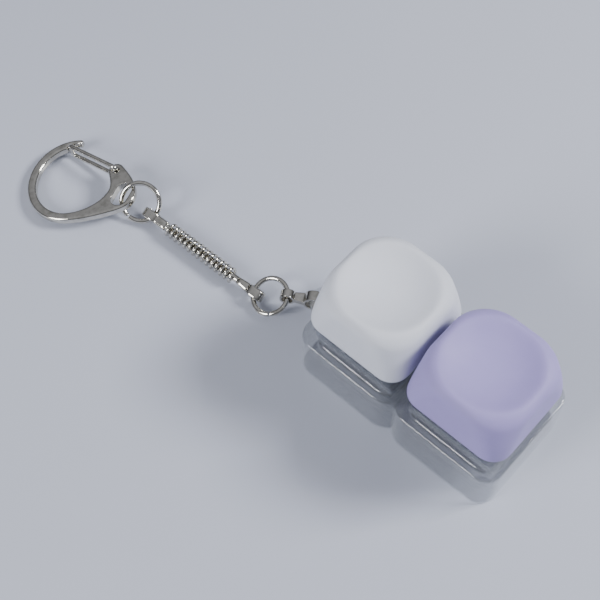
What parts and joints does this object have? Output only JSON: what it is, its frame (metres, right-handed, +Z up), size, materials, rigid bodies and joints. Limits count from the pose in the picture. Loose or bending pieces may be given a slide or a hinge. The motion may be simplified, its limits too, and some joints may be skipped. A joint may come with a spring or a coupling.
{
  "type": "fidget key clicker keychain",
  "caption": "Pocket fidget clicker: dished, spring-loaded key caps on push switches in a clear base, on a ringed coil link with a wire-gate snap clasp.",
  "frame": {"origin": "the middle of the clear base's underside, under the midpoint between the keys", "axes": "+X along the key row, away from the chain; +Z up, the way the keys face; the chain lies towards -X"},
  "size_m": [0.0989, 0.0298, 0.0219],
  "materials": {
    "base_clear": "clear, polished moulding",
    "housing_clear": "clear, slightly frosted",
    "cap_pale": "fine matte",
    "cap_lilac": "fine matte",
    "stem_plastic": "smooth, low gloss",
    "spring_steel": "bright drawn wire",
    "contact_copper": "bare sheet",
    "chain_plate": "bright nickel plate"
  },
  "bodies": {
    "base": {"base_shell": "base_clear", "pale_lower_housing": "housing_clear", "pale_upper_housing": "housing_clear", "pale_return_spring": "spring_steel", "pale_fixed_contact": "contact_copper", "pale_leaf_contact": "contact_copper", "lilac_lower_housing": "housing_clear", "lilac_upper_housing": "housing_clear", "lilac_return_spring": "spring_steel", "lilac_fixed_contact": "contact_copper", "lilac_leaf_contact": "contact_copper"},
    "pale_key": {"pale_keycap": "cap_pale", "pale_stem": "stem_plastic"},
    "lilac_key": {"lilac_keycap": "cap_lilac", "lilac_stem": "stem_plastic"},
    "tag": {"connector_tag": "chain_plate"},
    "ring_at_base": {"base_ring": "chain_plate"},
    "link": {"link_core": "chain_plate", "link_coil": "chain_plate"},
    "ring_at_clasp": {"clasp_ring": "chain_plate"},
    "clasp": {"clasp_body": "chain_plate"},
    "gate": {"clasp_gate": "chain_plate"}
  },
  "joints": [
    {"name": "pale_key_travel", "type": "slide", "parent": "base", "child": "pale_key", "axis": [0, 0, -1], "range_m": [0, 0.0038], "stiffness_N_per_m": 90, "springref_m": -0.0035, "deforming": ["pale_return_spring"]},
    {"name": "lilac_key_travel", "type": "slide", "parent": "base", "child": "lilac_key", "axis": [0, 0, -1], "range_m": [0, 0.0038], "stiffness_N_per_m": 90, "springref_m": -0.0035, "deforming": ["lilac_return_spring"]},
    {"name": "tag_swivel", "type": "hinge", "parent": "base", "child": "tag", "pos_m": [-0.02145, 0, 0.00325], "axis": [0, 0, 1], "range_deg": [-35, 35]},
    {"name": "base_ring_swing", "type": "hinge", "parent": "tag", "child": "ring_at_base", "pos_m": [-0.02706, -0.0034, 0.00325], "axis": [-0.5182, 0.8553, 0], "range_deg": [-40, 40]},
    {"name": "link_swing", "type": "hinge", "parent": "ring_at_base", "child": "link", "pos_m": [-0.03255, -0.00587, 0.0016], "axis": [-0.0219, 0.8924, 0.4508], "range_deg": [-40, 40]},
    {"name": "clasp_ring_swing", "type": "hinge", "parent": "link", "child": "ring_at_clasp", "pos_m": [-0.05575, -0.00645, 0.00162], "axis": [-0.0219, 0.8924, 0.4508], "range_deg": [-40, 40]},
    {"name": "clasp_swing", "type": "hinge", "parent": "ring_at_clasp", "child": "clasp", "pos_m": [-0.0617, -0.00785, 0.00361], "axis": [0.2326, -0.6783, -0.697], "range_deg": [-35, 11]},
    {"name": "gate_pivot", "type": "hinge", "parent": "clasp", "child": "gate", "pos_m": [-0.06633, -0.00474, 0.00331], "axis": [-0.1259, -0.0928, 0.9877], "range_deg": [0, 30], "stiffness_Nm_per_rad": 0.01, "springref_deg": -0.29}
  ]
}
